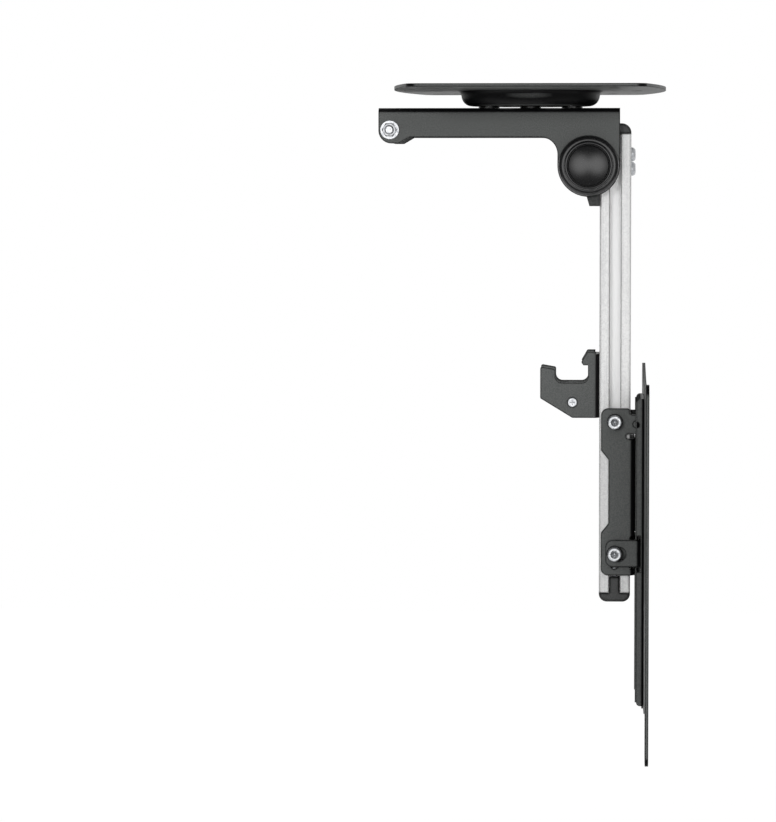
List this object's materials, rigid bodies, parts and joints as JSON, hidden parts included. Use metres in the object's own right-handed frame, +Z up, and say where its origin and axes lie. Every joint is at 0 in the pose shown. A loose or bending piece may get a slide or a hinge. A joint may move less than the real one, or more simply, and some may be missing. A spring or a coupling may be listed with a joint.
{
  "type": "folding ceiling mount for a flat screen",
  "caption": "Ceiling plate with a swivel, a short channel, a folding aluminium arm with a catch hook, and a sliding, slightly tilting screen plate.",
  "frame": {"origin": "on the swivel axis, at the ceiling plate's top face", "axes": "+Z up to the ceiling, +X towards the side that the screen plate is on, Y along the fold hinge"},
  "size_m": [0.1781, 0.224, 0.4078],
  "materials": {
    "charcoal_paint": "satin powder coat with a fine grain",
    "silver_aluminium": "matt silver anodised, fine blasted grain",
    "cast_block": "dark satin coat",
    "bright_zinc": "bright zinc plate",
    "black_washer": "black plate",
    "black_plastic": "satin black moulding"
  },
  "bodies": {
    "ceiling": {"ceiling_plate": "charcoal_paint"},
    "channel": {"support_channel": "charcoal_paint", "swivel_bolt": "bright_zinc", "swivel_washer": "bright_zinc", "swivel_spacer": "black_plastic", "swivel_nut": "bright_zinc", "guide_bolt": "bright_zinc", "guide_washer": "bright_zinc", "guide_spacer": "black_plastic", "guide_nut": "bright_zinc", "pivot_bolt": "bright_zinc", "pivot_washer": "bright_zinc", "pivot_nut": "bright_zinc", "friction_disc": "black_plastic", "pivot_cover_near": "black_plastic", "pivot_cover_far": "black_plastic", "catch_bolt": "bright_zinc", "catch_washer": "bright_zinc", "catch_nut": "bright_zinc"},
    "arm": {"hinge_block": "cast_block", "arm_profile": "silver_aluminium", "arm_top_cap": "black_plastic", "arm_bottom_cap": "black_plastic", "block_screws": "bright_zinc", "stop_screws": "bright_zinc", "catch_hook": "charcoal_paint", "hook_pin": "bright_zinc", "hook_rivets": "bright_zinc"},
    "bracket": {"arm_bracket": "charcoal_paint", "upper_bolts": "bright_zinc", "lower_bolts": "bright_zinc", "upper_washers": "black_washer", "lower_washers": "black_washer", "tilt_sleeves": "black_plastic", "groove_nuts": "bright_zinc", "tilt_pin": "black_washer"},
    "screen": {"screen_spine": "charcoal_paint", "tilt_yoke": "charcoal_paint", "screen_plate": "charcoal_paint", "spine_rivets": "black_washer"}
  },
  "joints": [
    {"name": "swivel", "type": "hinge", "parent": "ceiling", "child": "channel", "pos_m": [0, 0, 0], "axis": [0, 0, 1], "range_deg": [-60, 60]},
    {"name": "fold", "type": "hinge", "parent": "channel", "child": "arm", "pos_m": [0.0366, 0, -0.0486], "axis": [0, 1, 0], "range_deg": [0, 90]},
    {"name": "height_slide", "type": "slide", "parent": "arm", "child": "bracket", "axis": [0, 0, 1], "range_m": [0, 0.07]},
    {"name": "tilt", "type": "hinge", "parent": "bracket", "child": "screen", "pos_m": [0.0666, 0, -0.2093], "axis": [0, 1, 0], "range_deg": [0, 2]}
  ]
}
